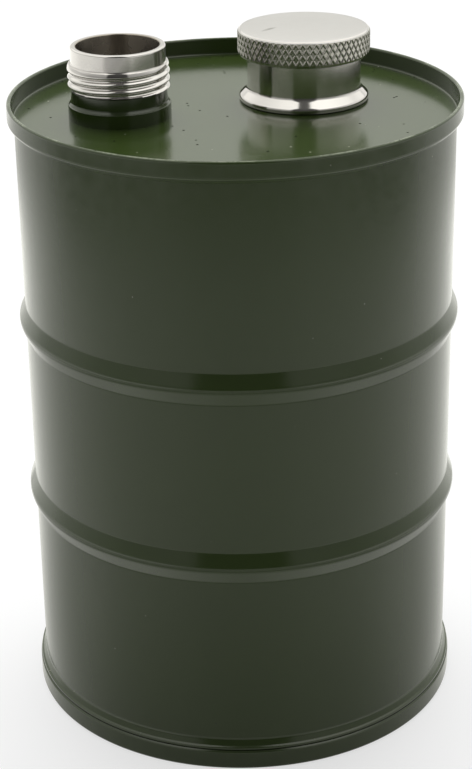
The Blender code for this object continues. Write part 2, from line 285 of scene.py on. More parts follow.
def bridge(bm, low, high):
    """Join two rings with a band of faces."""
    for index in range(len(low)):
        following = (index + 1) % len(low)
        bm.faces.new((low[index], low[following], high[following], high[index]))


def bridge_all(bm, rings, closed=False):
    """Join each ring to the next one, and the last to the first where the piece is a tube."""
    for low, high in zip(rings, rings[1:]):
        bridge(bm, low, high)
    if closed:
        bridge(bm, rings[-1], rings[0])


def turned(outline, facets):
    """Revolve a closed outline that stays clear of the axis."""
    bm = bmesh.new()
    bridge_all(bm, rings_of(bm, outline, facets), closed=True)
    return bm


def turned_disc(outline, facets):
    """Revolve an outline that starts and ends on flat faces across the axis."""
    bm = bmesh.new()
    rings = rings_of(bm, outline, facets)
    bridge_all(bm, rings)
    bm.faces.new(rings[0])
    bm.faces.new(rings[-1])
    return bm


def piece(bm, name, body, node, materials, place=(0.0, 0.0, 0.0)):
    """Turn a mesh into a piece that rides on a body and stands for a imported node."""
    bmesh.ops.recalc_face_normals(bm, faces=bm.faces)
    mesh = bpy.data.meshes.new(name)
    bm.to_mesh(mesh)
    bm.free()
    mesh.shade_smooth()
    mesh.set_sharp_from_angle(angle=SHARP_ANGLE)
    for material in materials:
        mesh.materials.append(material)
    made = bpy.data.objects.new(name, mesh)
    bpy.context.scene.collection.objects.link(made)
    made.location = place
    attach(made, body)
    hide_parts(node)
    return made


def outwardness(face):
    """Above 0 for a face that looks away from its piece's axis, and below 0 for the inside."""
    return face.normal.dot(Vector((face.center.x, face.center.y, 0.0)))


def line_inside(made):
    """Give the faces that look at the piece's axis its second material."""
    for face in made.data.polygons:
        if outwardness(face) < 0:
            face.material_index = 1


def finish_band(made, index, low, high):
    """Give the outward faces between two heights another of the piece's materials."""
    for face in made.data.polygons:
        if low < face.center.z < high and outwardness(face) > 0:
            face.material_index = index


class Nodes:
    """Short calls for the node tree of one material or world."""

    def __init__(self, tree):
        self.tree = tree

    def add(self, kind, **settings):
        node = self.tree.nodes.new(kind)
        for name, value in settings.items():
            setattr(node, name, value)
        return node

    def link(self, source, target):
        self.tree.links.new(source, target)

    def feed(self, socket, value):
        if isinstance(value, bpy.types.NodeSocket):
            self.link(value, socket)
        else:
            socket.default_value = value

    def split(self, vector):
        node = self.add("ShaderNodeSeparateXYZ")
        self.link(vector, node.inputs["Vector"])
        return node.outputs["X"], node.outputs["Y"], node.outputs["Z"]

    def math(self, operation, first, second=0.0):
        node = self.add("ShaderNodeMath", operation=operation)
        self.feed(node.inputs[0], first)
        self.feed(node.inputs[1], second)
        return node.outputs[0]

    def map_range(self, value, low, high, to_low=0.0, to_high=1.0):
        node = self.add("ShaderNodeMapRange", interpolation_type="SMOOTHSTEP")
        self.feed(node.inputs["Value"], value)
        node.inputs["From Min"].default_value = low
        node.inputs["From Max"].default_value = high
        node.inputs["To Min"].default_value = to_low
        node.inputs["To Max"].default_value = to_high
        return node.outputs["Result"]

    def mix(self, share, first, second):
        node = self.add("ShaderNodeMix", data_type="RGBA")
        self.feed(node.inputs["Factor"], share)
        self.feed(node.inputs["A"], first)
        self.feed(node.inputs["B"], second)
        return node.outputs["Result"]

    def noise(self, vector, scale, detail=2.0):
        node = self.add("ShaderNodeTexNoise")
        node.inputs["Scale"].default_value = scale
        node.inputs["Detail"].default_value = detail
        self.link(vector, node.inputs["Vector"])
        return node.outputs["Fac"]

    def bump(self, height, distance, strength=1.0):
        node = self.add("ShaderNodeBump")
        node.inputs["Strength"].default_value = strength
        node.inputs["Distance"].default_value = distance
        self.link(height, node.inputs["Height"])
        return node.outputs["Normal"]


def colour(red, green, blue):
    return (red, green, blue, 1.0)


def new_material(name):
    """A Principled material, with its node calls, its shader and its object coordinates."""
    made = bpy.data.materials.new(name)
    made.use_nodes = True
    nodes = Nodes(made.node_tree)
    shader = made.node_tree.nodes["Principled BSDF"]
    place = nodes.add("ShaderNodeTexCoord").outputs["Object"]
    return made, nodes, shader, place


# Army-green paint. The scales of the patterns are cells a metre.
PAINT_LIGHT = colour(0.038, 0.061, 0.0145)
PAINT_DEEP = colour(0.032, 0.051, 0.0122)
PAINT_WORN = colour(0.20, 0.23, 0.15)
PAINT_ROUGHNESS = (0.13, 0.19)
PAINT_IOR = 1.58
MOTTLE_SCALE = 60.0
ROUGHNESS_SCALE = 420.0
PEEL_SCALE = 900.0
PEEL_DEPTH = 0.00003
PEEL_STRENGTH = 0.25
# Dust and grit: scale, radius of a speck, the colour channel that picks cells, the share picked
DUST = colour(0.36, 0.36, 0.30)
GRIT = colour(0.006, 0.007, 0.005)
LOOSE_DUST = (300.0, 0.00014, "Red", 0.16)
LOOSE_GRIT = (300.0, 0.00014, "Green", 0.10)
SETTLED_DUST = (420.0, 0.00035, "Blue", 0.30)
SETTLED_GRIT = (380.0, 0.00035, "Red", 0.45)
# Share of a speck's radius inside which its mask is full
SPECK_CORE = 0.5
# Upward slope of a face from which specks settle on it, and at which all do
UPWARD = (0.6, 0.9)
# Roughness of a settled speck, the specular levels of paint and speck, and the mask level from
# which the second holds
SETTLED_ROUGHNESS = 0.8
SPECULAR_LEVELS = (0.5, 0.02)
SETTLED_MASK = 0.6
# Wear of the lip's crest: its height, and the noise that breaks it into patches and chips
CREST = (RIM_HEIGHT - 0.00016, RIM_HEIGHT - 0.00002)
PATCH_SCALE = 110.0
PATCHES = (0.46, 0.60)
CHIP_SCALE = 2200.0
CHIPS = (0.35, 0.55)


def specks(nodes, place, scale, radius, channel, chosen):
    """Mask of small specks, one in some of the cells of a cellular pattern."""
    cells = nodes.add("ShaderNodeTexVoronoi")
    cells.inputs["Scale"].default_value = scale
    nodes.link(place, cells.inputs["Vector"])
    parts = nodes.add("ShaderNodeSeparateColor")
    nodes.link(cells.outputs["Color"], parts.inputs["Color"])
    near = nodes.map_range(cells.outputs["Distance"], radius * scale, SPECK_CORE * radius * scale)
    picked = nodes.math("LESS_THAN", parts.outputs[channel], chosen)
    return nodes.math("MULTIPLY", near, picked)


def make_paint():
    """Satin army-green paint: soft mottling, fine orange peel, and a little dust and grit.

    More of both has settled on faces that look up, where they don't mirror the surroundings. The
    crest of the lip is rubbed in places.
    """
    made, nodes, shader, place = new_material("army_green_paint")
    body = nodes.mix(nodes.noise(place, MOTTLE_SCALE, 4.0), PAINT_DEEP, PAINT_LIGHT)

    facing = nodes.split(nodes.add("ShaderNodeNewGeometry").outputs["Normal"])[2]
    upward = nodes.map_range(facing, *UPWARD)
    settled_dust = nodes.math("MULTIPLY", specks(nodes, place, *SETTLED_DUST), upward)
    settled_grit = nodes.math("MULTIPLY", specks(nodes, place, *SETTLED_GRIT), upward)
    dust = nodes.math("MAXIMUM", specks(nodes, place, *LOOSE_DUST), settled_dust)
    grit = nodes.math("MAXIMUM", specks(nodes, place, *LOOSE_GRIT), settled_grit)

    crest = nodes.map_range(nodes.split(place)[2], *CREST)
    patches = nodes.map_range(nodes.noise(place, PATCH_SCALE, 3.0), *PATCHES)
    chips = nodes.map_range(nodes.noise(place, CHIP_SCALE, 2.0), *CHIPS)
    rubbed = nodes.math("MULTIPLY", crest, nodes.math("MULTIPLY", patches, chips))
    worn = nodes.mix(rubbed, body, PAINT_WORN)
    nodes.link(nodes.mix(grit, nodes.mix(dust, worn, DUST), GRIT), shader.inputs["Base Color"])

    settled = nodes.math("MAXIMUM", settled_dust, settled_grit)
    specular = nodes.map_range(settled, 0.0, SETTLED_MASK, *SPECULAR_LEVELS)
    nodes.link(specular, shader.inputs["Specular IOR Level"])
    rough = nodes.map_range(nodes.noise(place, ROUGHNESS_SCALE, 3.0), 0.0, 1.0, *PAINT_ROUGHNESS)
    dull = nodes.math("MULTIPLY", settled, SETTLED_ROUGHNESS)
    nodes.link(nodes.math("MAXIMUM", rough, dull), shader.inputs["Roughness"])
    peel = nodes.noise(place, PEEL_SCALE, 2.0)
    nodes.link(nodes.bump(peel, PEEL_DEPTH, PEEL_STRENGTH), shader.inputs["Normal"])
    shader.inputs["IOR"].default_value = PAINT_IOR
    return made


# Two shades that each finish of the stainless steel drifts between
BRIGHT = (colour(0.67, 0.645, 0.63), colour(0.73, 0.705, 0.69))
SATIN = (colour(0.59, 0.575, 0.565), colour(0.63, 0.615, 0.61))
KNURLED = (colour(0.46, 0.45, 0.41), colour(0.53, 0.52, 0.48))
# Bore steel, darker and browner than the other steel: painted shade for the dim inside of the
# neck's bore
SHADED_BORE = (colour(0.41, 0.37, 0.32), colour(0.46, 0.42, 0.37))
# Each finish: shades, roughness from and to, turning lines a metre, their depth, share drawn
STEELS = {
    "polished_steel": (BRIGHT, 0.06, 0.12, 9000.0, 0.000002, 0.0),
    "turned_steel": (BRIGHT, 0.12, 0.15, 9000.0, 0.000002, 0.95),
    # The bore's steel uses those darker shades, so its base colour carries painted shade
    "shaded_bore_steel": (SHADED_BORE, 0.25, 0.29, 5000.0, 0.000002, 0.95),
    "drawn_steel": (BRIGHT, 0.14, 0.17, 5000.0, 0.000001, 0.95),
    "satin_steel": (SATIN, 0.28, 0.34, 5000.0, 0.0000002, 0.0),
    "knurled_steel": (KNURLED, 0.16, 0.22, 5000.0, 0.0000002, 0.0),
}
CLOUD_SCALE = 120.0
POLISH_SCALE = 300.0
POLISH_RANGE = (0.2, 0.8)
LINE_DETAIL = 3.0
QUARTER_TURN = 0.25
# Rub mark on the cap's top: its middle, direction, half length and half width
RUB_MARK = ((-0.0070, -0.0026), math.radians(42), 0.0025, 0.00075)
RUB_DARK = colour(0.20, 0.19, 0.17)
# Shares of its half length at which it ends and is full, and its grain
RUB_FADE = (1.0, 0.2)
RUB_GRAIN_SCALE = 2500.0
RUB_GRAIN = (0.35, 0.65, 0.45, 0.9)


def turning_lines(nodes, place, scale):
    """Height pattern of fine turning lines, the same all the way round the piece's axis."""
    x, y, z = nodes.split(place)
    square = nodes.math("ADD", nodes.math("MULTIPLY", x, x), nodes.math("MULTIPLY", y, y))
    along = nodes.math("ADD", nodes.math("SQRT", square), z)
    lines = nodes.add("ShaderNodeTexNoise", noise_dimensions="1D")
    lines.inputs["Scale"].default_value = scale
    lines.inputs["Detail"].default_value = LINE_DETAIL
    nodes.link(along, lines.inputs["W"])
    return lines.outputs["Fac"]


def make_steel(name, shades, roughness_low, roughness_high, line_scale, line_depth, drawn):
    """Stainless steel with turning lines and a slightly uneven polish.

    Its reflections are drawn out across the turning lines by the share drawn.
    """
    made, nodes, shader, place = new_material(name)
    shader.inputs["Metallic"].default_value = 1.0
    if drawn:
        shader.inputs["Anisotropic"].default_value = drawn
        shader.inputs["Anisotropic Rotation"].default_value = QUARTER_TURN
        tangent = nodes.add("ShaderNodeTangent", direction_type="RADIAL", axis="Z")
        nodes.link(tangent.outputs["Tangent"], shader.inputs["Tangent"])
    cloud = nodes.noise(place, CLOUD_SCALE)
    nodes.link(nodes.mix(cloud, *shades), shader.inputs["Base Color"])
    polish = nodes.noise(place, POLISH_SCALE)
    rough = nodes.map_range(polish, *POLISH_RANGE, roughness_low, roughness_high)
    nodes.link(rough, shader.inputs["Roughness"])
    lines = turning_lines(nodes, place, line_scale)
    nodes.link(nodes.bump(lines, line_depth), shader.inputs["Normal"])
    return made


def add_rub_mark(made, centre, angle, half_length, half_width):
    """Darken one short rub mark, at a place on the piece that has this material."""
    nodes = Nodes(made.node_tree)
    shader = made.node_tree.nodes["Principled BSDF"]
    shade = shader.inputs["Base Color"].links[0].from_socket
    place = nodes.add("ShaderNodeTexCoord").outputs["Object"]
    mapping = nodes.add("ShaderNodeMapping", vector_type="TEXTURE")
    mapping.inputs["Location"].default_value = (centre[0], centre[1], 0.0)
    mapping.inputs["Rotation"].default_value = (0.0, 0.0, angle)
    mapping.inputs["Scale"].default_value = (half_length, half_width, 1.0)
    nodes.link(place, mapping.inputs["Vector"])
    length = nodes.add("ShaderNodeVectorMath", operation="LENGTH")
    nodes.link(mapping.outputs["Vector"], length.inputs[0])
    spot = nodes.map_range(length.outputs["Value"], *RUB_FADE)
    grain = nodes.map_range(nodes.noise(place, RUB_GRAIN_SCALE), *RUB_GRAIN)
    rubbed = nodes.mix(nodes.math("MULTIPLY", spot, grain), shade, RUB_DARK)
    nodes.link(rubbed, shader.inputs["Base Color"])


SILICONE_SHADES = (colour(0.70, 0.70, 0.66), colour(0.80, 0.80, 0.77))
SILICONE_ROUGHNESS = 0.5
SILICONE_CLOUD_SCALE = 300.0
SILICONE_GRAIN_SCALE = 3000.0
SILICONE_GRAIN_DEPTH = 0.00002
SILICONE_GRAIN_STRENGTH = 0.3


def make_silicone():
    """Milky silicone with a faint moulded grain."""
    made, nodes, shader, place = new_material("milky_silicone")
    shader.inputs["Roughness"].default_value = SILICONE_ROUGHNESS
    cloud = nodes.noise(place, SILICONE_CLOUD_SCALE)
    nodes.link(nodes.mix(cloud, *SILICONE_SHADES), shader.inputs["Base Color"])
    grain = nodes.noise(place, SILICONE_GRAIN_SCALE)
    bump = nodes.bump(grain, SILICONE_GRAIN_DEPTH, SILICONE_GRAIN_STRENGTH)
    nodes.link(bump, shader.inputs["Normal"])
    return made


def hoop_corners(centre):
    """One rolled hoop, from its soft foot over its rounded crest to the crease above it."""
    slope = math.atan(HOOP_RISE / HOOP_HALF_WIDTH)
    lost_height = HOOP_CREST_ROUND * (1 / math.cos(slope) - 1)
    return [
        (BODY_RADIUS, centre - HOOP_HALF_WIDTH, HOOP_FOOT_ROUND),
        (BODY_RADIUS + HOOP_RISE + lost_height, centre, HOOP_CREST_ROUND),
        (BODY_RADIUS, centre + HOOP_HALF_WIDTH, HOOP_CREASE_ROUND),
    ]


def make_drum_wall(paint, steel):
    """The rolled wall with its hoops and flared lower edge, painted outside and bare inside."""
    bead_radius = BODY_RADIUS + BEAD_RISE
    bead_top = WALL_LOW.z + BEAD_HEIGHT
    flare_base = bead_top + STEP_HEIGHT
    corners = [
        (bead_radius, WALL_LOW.z, 0),
        (bead_radius, bead_top, BEAD_ROUND),
        (BODY_RADIUS + FLARE_RISE, flare_base, FLARE_FOOT_ROUND),
        (BODY_RADIUS, flare_base + FLARE_HEIGHT, FLARE_TOP_ROUND),
    ]
    corners += hoop_corners(HOOP_MIDDLE - 0.5 * HOOP_SPACING)
    corners += hoop_corners(HOOP_MIDDLE + 0.5 * HOOP_SPACING)
    corners.append((BODY_RADIUS, DECK_UNDERSIDE, 0))
    outline = soften(corners)
    inside = [Vector((point.x - SHEET, point.y)) for point in reversed(outline)]
    bm = turned(outline + inside, DRUM_FACETS)
    made = piece(bm, "drum_wall_skin", "flask", "drum_wall", [paint, steel])
    line_inside(made)


def fill_flat(bm, loops, upward):
    """Fill the flat face between an outer ring and the rings of its holes."""
    edges = []
    for loop in loops:
        for first, second in zip(loop, loop[1:] + loop[:1]):
            edges.append(bm.edges.get((first, second)) or bm.edges.new((first, second)))
    normal = (0.0, 0.0, 1.0 if upward else -1.0)
    bmesh.ops.triangle_fill(bm, use_beauty=True, edges=edges, normal=normal)


def hole_ring(bm, axis, radius, height, facets):
    """The ring of a round hole whose axis isn't the drum's."""
    points = ring(bm, radius, height, facets)
    for point in points:
        point.co += Vector((axis.x, axis.y, 0.0))
    return points


def make_top_end(paint):
    """The deck with its two holes, the lip, its rolled crest and the band outside."""
    lip_inner = RIM_RADIUS - LIP_THICKNESS
    flat_edge = lip_inner - DECK_FILLET - CREASE_WIDTH
    band_low = RIM_HEIGHT - BAND_HEIGHT
    undercut_top = band_low + BAND_UNDERCUT
    profile = soften([
        (flat_edge, DECK_LEVEL, 0),
        (lip_inner - DECK_FILLET, DECK_LEVEL, 0),
        (lip_inner, DECK_LEVEL, DECK_FILLET),
        (lip_inner, RIM_HEIGHT, LIP_CREST_ROUND),
        (RIM_RADIUS, RIM_HEIGHT, LIP_CREST_ROUND),
        (RIM_RADIUS, undercut_top, BAND_EDGE_ROUND),
        (BODY_RADIUS + BAND_FOOT_WIDTH, band_low + BAND_FOOT_LIFT, BAND_FOOT_ROUND),
        (BODY_RADIUS, DECK_UNDERSIDE, 0),
        (flat_edge, DECK_UNDERSIDE, 0),
    ])
    bm = bmesh.new()
    rings = rings_of(bm, profile, DRUM_FACETS)
    bridge_all(bm, rings)
    loops_high = [rings[0]]
    loops_low = [rings[-1]]
    for axis in (OPEN_NECK_AXIS, CAP_AXIS):
        high = hole_ring(bm, axis, SPIGOT_HOLE_RADIUS, DECK_LEVEL, NECK_FACETS)
        low = hole_ring(bm, axis, SPIGOT_HOLE_RADIUS, DECK_UNDERSIDE, NECK_FACETS)
        bridge(bm, low, high)
        loops_high.append(high)
        loops_low.append(low)
    fill_flat(bm, loops_high, True)
    fill_flat(bm, loops_low, False)
    piece(bm, "top_end_skin", "flask", "top_end", [paint])


def make_bottom_end(paint):
    """The recessed pan and the foot ring, whose outside is the chime under the wall's bead."""
    foot_inner = FOOT_RADIUS - FOOT_THICKNESS
    outline = soften([
        (FOOT_RADIUS - 2 * CHIME_EDGE, BASE_HIGH.z, 0),
        (FOOT_RADIUS - CHIME_EDGE, BASE_HIGH.z, 0),
        (FOOT_RADIUS, BASE_HIGH.z - CHIME_EDGE, CHIME_EDGE),
        (FOOT_RADIUS, 0.0, FOOT_ROUND),
        (foot_inner, 0.0, FOOT_INNER_ROUND),
        (foot_inner, BASE_RECESS, DECK_FILLET),
        (foot_inner - PAN_FLAT, BASE_RECESS, 0),
    ])
    bm = turned_disc(outline, DRUM_FACETS)
    piece(bm, "bottom_end_skin", "flask", "bottom_end", [paint])


def make_neck_collar(paint):
    """The thick painted ring on the deck round the open neck, with a rounded upper edge."""
    corners = [
        (SPIGOT_HOLE_RADIUS, 0.0, 0),
        (COLLAR_RADIUS, 0.0, 0),
        (COLLAR_RADIUS, COLLAR_HEIGHT, COLLAR_ROUND),
        (SPIGOT_HOLE_RADIUS, COLLAR_HEIGHT, 0),
    ]
    place = (OPEN_NECK_AXIS.x, OPEN_NECK_AXIS.y, DECK_LEVEL)
    bm = turned(soften(corners, closed=True), NECK_FACETS)
    piece(bm, "neck_collar_skin", "flask", "neck_collar", [paint], place)


def neck_paint_mesh():
    """The painted band under the thread, with a wide fillet that runs out over the collar."""
    corners = [
        (SPIGOT_RADIUS, 0.0, 0),
        (COLLAR_RADIUS - COLLAR_ROUND, 0.0, 0),
        (NECK_RADIUS + FILLET_SPREAD, FILLET_HEIGHT, FILLET_ROUND),
        (NECK_RADIUS - PAINT_TAPER, NECK_BAND, EDGE_ROUND),
        (SPIGOT_RADIUS, NECK_BAND, 0),
    ]
    return turned(soften(corners, closed=True), NECK_FACETS)


def ridge_level(offset):
    """Height of the thread ridge, from 0 to 1, at a distance along the axis from its middle."""
    crest_half = 0.5 * THREAD_CREST
    rise = THREAD_DEPTH * math.tan(FLANK_ANGLE)
    share = min(1.0, max(0.0, (crest_half + rise - abs(offset)) / rise))
    rounded = share * share * (3 - 2 * share)
    return rounded * RIDGE_ROUNDING + share * (1 - RIDGE_ROUNDING)


def worn_ridge_level(offset):
    """The same for the bare thread, whose ridges are rounded by rolling and use."""
    return 0.5 + 0.5 * math.cos(math.tau * min(0.5, abs(offset) / PITCH))


def thread_rows(bm, rings, heights, radii, phase, turns, drop=0.0, ridge=ridge_level):
    """Wind a right-hand thread between two rings, with rows of points that follow the helix.

    The pairs say bottom and top, root and crest, and the turns at which the ridge runs in and the
    groove runs out. Above the groove's end the full diameter stays, and curves in by drop towards
    the top.
    """
    low, high = rings
    bottom, top = heights
    root, crest = radii
    first_turn, last_turn = turns
    facets = len(low)
    points = {}

    def point(column, row):
        if column == facets:
            return point(0, row + THREAD_ROWS)
        angle_turn = column / facets
        height = phase + PITCH * (row / THREAD_ROWS + angle_turn)
        if height < bottom + MERGE_DISTANCE:
            return low[column]
        if height > top - MERGE_DISTANCE:
            return high[column]
        if (column, row) not in points:
            nearest = round(row / THREAD_ROWS)
            offset = PITCH * (row / THREAD_ROWS - nearest)
            run_in = min(1.0, max(0.0, 1 + (nearest + angle_turn - first_turn) / THREAD_FADE))
            groove_turn = math.floor(row / THREAD_ROWS) + 0.5 + angle_turn
            run_out = min(1.0, max(0.0, 1 + (groove_turn - last_turn) / THREAD_FADE))
            level = max(ridge(offset) * run_in, run_out)
            radius = root + (crest - root) * level
            radius -= drop * max(0.0, 1 - (top - height) / LAND_HEIGHT) ** 2
            angle = math.tau * angle_turn
            place = (radius * math.cos(angle), radius * math.sin(angle), height)
            points[column, row] = bm.verts.new(place)
        return points[column, row]

    first_row = THREAD_ROWS * (math.floor((bottom - phase) / PITCH) - 2)
    last_row = THREAD_ROWS * (math.ceil((top - phase) / PITCH) + 2)
    for column in range(facets):
        for row in range(first_row, last_row):
            corners = [point(column, row), point(column + 1, row)]
            corners += [point(column + 1, row + 1), point(column, row + 1)]
            distinct = list(dict.fromkeys(corners))
            if len(distinct) > 2:
                bm.faces.new(distinct)


def join_thread_ends(bm, low_ring, high_ring, corners):
    """Close a threaded piece, from the thread's top round its outline to the thread's foot."""
    rings = rings_of(bm, soften(corners), NECK_FACETS)
    bridge_all(bm, [high_ring, *rings, low_ring])


def neck_steel_mesh(ridge, root):
    """The turned neck: spigot, thread and rounded lip, round a straight bore."""
    bm = bmesh.new()
    land_radius = THREAD_MAJOR - LAND_DROP
    low_ring = ring(bm, THREAD_ROOT, NECK_BAND, NECK_FACETS)
    high_ring = ring(bm, land_radius, THREAD_TOP, NECK_FACETS)
    thread_rows(bm, (low_ring, high_ring), (NECK_BAND, THREAD_TOP), (root, THREAD_MAJOR),
                THREAD_PHASE, NECK_TURNS, LAND_DROP, ridge)
    land_top = THREAD_TOP + LAND_EDGE
    core = SPIGOT_RADIUS - PAINT_COVER
    join_thread_ends(bm, low_ring, high_ring, [
        (land_radius - LAND_CHAMFER, land_top, 0),
        (LIP_BAND_RADIUS + LIP_FOOT_FILLET, land_top, 0),
        (LIP_BAND_RADIUS, THREAD_TOP + LIP_BAND_FOOT, 0),
        (LIP_BAND_RADIUS - LIP_TAPER, NECK_TOP, LIP_ROUND),
        (BORE_RADIUS, NECK_TOP, BORE_EDGE_ROUND),
        (BORE_RADIUS, -SPIGOT_LENGTH, EDGE_ROUND),
        (core, -SPIGOT_LENGTH, EDGE_ROUND),
        (core, NECK_BAND, 0),
    ])
    return bm


def make_necks(paint, steel, bore_steel, band_steel):
    """The open neck and the one under the cap: a painted foot band and bare turned steel."""
    band = (THREAD_TOP + LIP_BAND_FOOT, NECK_TOP - LIP_ROUND)
    threads = {
        "open_neck": (worn_ridge_level, THREAD_MAJOR - WORN_THREAD_DEPTH),
        "capped_neck": (ridge_level, THREAD_ROOT),
    }
    shoulders = {
        "open_neck": (OPEN_NECK_AXIS.x, OPEN_NECK_AXIS.y, DECK_LEVEL + COLLAR_HEIGHT),
        "capped_neck": (CAP_AXIS.x, CAP_AXIS.y, DECK_LEVEL),
    }
    for node, place in shoulders.items():
        lifted = (place[0], place[1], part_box(node)[1].z - NECK_TOP)
        bare = piece(neck_steel_mesh(*threads[node]), node + "_steel", "flask", node,
                     [steel, bore_steel, band_steel], lifted)
        line_inside(bare)
        finish_band(bare, 2, *band)
        piece(neck_paint_mesh(), node + "_paint", "flask", node, [paint], place)


def make_cap_sleeve(drawn_steel, steel):
    """The polished skirt with its flared foot and the thread inside."""
    bm = bmesh.new()
    phase = JOINT_GAP + THREAD_PHASE + 0.5 * PITCH
    bottom = JOINT_GAP + THREAD_START + 0.5 * PITCH - THREAD_RUN_OUT
    top = bottom + THREAD_LENGTH - CAP_THREAD_SHORTENING
    low_ring = ring(bm, CAP_ROOT, bottom, NECK_FACETS)
    high_ring = ring(bm, CAP_ROOT, top, NECK_FACETS)
    thread_rows(bm, (low_ring, high_ring), (bottom, top), (CAP_ROOT, CAP_CREST), phase, CAP_TURNS)
    flare_top = JOINT_GAP + SLEEVE_FLARE_HEIGHT
    foot_inner = FLARE_RADIUS - SLEEVE_FOOT_WALL
    sleeve_top = HEAD_TOP - HEAD_PLATE - JOINT_GAP
    bead_radius = SLEEVE_RADIUS + SLEEVE_BEAD
    bead_top = HEAD_UNDERSIDE - SLEEVE_BEAD_GAP
    bead_foot = HEAD_UNDERSIDE - SLEEVE_BEAD
    join_thread_ends(bm, low_ring, high_ring, [
        (CAP_ROOT, sleeve_top, 0),
        (SLEEVE_RADIUS, sleeve_top, 0),
        (SLEEVE_RADIUS, bead_top, 0),
        (bead_radius, bead_top, EDGE_ROUND),
        (bead_radius, bead_foot, EDGE_ROUND),
        (SLEEVE_RADIUS, bead_foot, EDGE_ROUND),
        (SLEEVE_RADIUS, flare_top + SLEEVE_FILLET_LIFT, SLEEVE_FILLET_ROUND),
        (FLARE_RADIUS, SLEEVE_FOOT_LEVEL + FLARE_SHOULDER, SLEEVE_FOOT_ROUND),
        (FLARE_RADIUS - SLEEVE_FOOT_TUCK, SLEEVE_FOOT_LEVEL, SLEEVE_TUCK_ROUND),
        (foot_inner, SLEEVE_FOOT_LEVEL, EDGE_ROUND),
        (CAP_ROOT, flare_top, 0),
    ])
    made = piece(bm, "cap_sleeve_skin", "cap", "cap_sleeve",
                 [drawn_steel, steel], CAP_AXIS)
    finish_band(made, 1, SLEEVE_FOOT_LEVEL, flare_top)


def knurl_level(column, row):
    """Height of the diamond knurl, from 0 in its pits to 1 on its crossing ridges."""
    span = 2 * KNURL_STEPS
    rising = abs((column - row) % span - KNURL_STEPS) / KNURL_STEPS
    falling = abs((column + row) % span - KNURL_STEPS) / KNURL_STEPS
    return max(0.0, 1 - (1 - max(rising, falling)) / KNURL_RIDGE)


def make_cap_head(steel, knurl_steel, edge_steel):
    """The round head: satin top, crisp chamfers and a diamond knurl cut round its edge.

    The knurl runs out into both chamfers.
    """
    bm = bmesh.new()
    columns = 2 * KNURL_STEPS * KNURL_COUNT
    rows = KNURL_STEPS * KNURL_ROWS
    edge = HEAD_TOP - HEAD_DOME
    knurl_low = HEAD_UNDERSIDE + HEAD_BOTTOM_CHAMFER
    knurl_high = edge - HEAD_TOP_CHAMFER
    recess = SLEEVE_RADIUS + HEAD_RECESS_PLAY
    underside = [
        (recess, HEAD_TOP - HEAD_PLATE),
        (recess, HEAD_UNDERSIDE),
        (HEAD_RADIUS - HEAD_BOTTOM_CHAMFER, HEAD_UNDERSIDE),
    ]
    rings = rings_of(bm, underside, columns)
    bm.faces.new(rings[0])
    for row in range(rows + 1):
        height = knurl_low + (knurl_high - knurl_low) * row / rows
        chamfer_limit = KNURL_FLOOR + min(knurl_high - height, height - knurl_low)
        points = []
        for column in range(columns):
            radius = HEAD_RADIUS - KNURL_DEPTH * (1 - knurl_level(column, row))
            radius = min(radius, chamfer_limit)
            angle = math.tau * column / columns
            spot = (radius * math.cos(angle), radius * math.sin(angle), height)
            points.append(bm.verts.new(spot))
        rings.append(points)
    top_radius = KNURL_FLOOR - HEAD_TOP_EDGE
    shoulder = HEAD_TOP_CHAMFER / 2
    rings.append(ring(bm, KNURL_FLOOR - shoulder, knurl_high + shoulder, columns))
    rings.append(ring(bm, top_radius, edge, columns))
    for index in range(1, DOME_STEPS):
        share = 1 - index / DOME_STEPS
        height = HEAD_TOP - HEAD_DOME * share * share
        rings.append(ring(bm, top_radius * share, height, columns))
    bridge_all(bm, rings)
    bm.faces.new(rings[-1])
    made = piece(bm, "cap_head_skin", "cap", "cap_head",
                 [steel, knurl_steel, edge_steel], CAP_AXIS)
    finish_band(made, 1, HEAD_UNDERSIDE, knurl_high)
    finish_band(made, 2, knurl_high + shoulder, edge)


def make_cap_liner(silicone):
    """The silicone disc inside the cap, with soft edges."""
    low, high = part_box("cap_liner")
    radius = 0.5 * (high.x - low.x)
    bottom = low.z - DECK_LEVEL
    top = high.z - DECK_LEVEL
    outline = soften([
        (radius - LINER_EDGE, bottom, 0),
        (radius, bottom, LINER_ROUND),
        (radius, top, LINER_ROUND),
        (radius - LINER_EDGE, top, 0),
    ])
    bm = turned_disc(outline, NECK_FACETS)
    piece(bm, "cap_liner_skin", "liner", "cap_liner", [silicone], CAP_AXIS)


# Pale floor: half its width, its own grey, and the grey and glow that the camera sees
FLOOR_REACH = 3.0
FLOOR_GREY = colour(0.50, 0.50, 0.50)
FLOOR_ROUGHNESS = 0.9
SEEN_GREY = colour(0.36, 0.36, 0.36)
SEEN_GLOW = 0.62


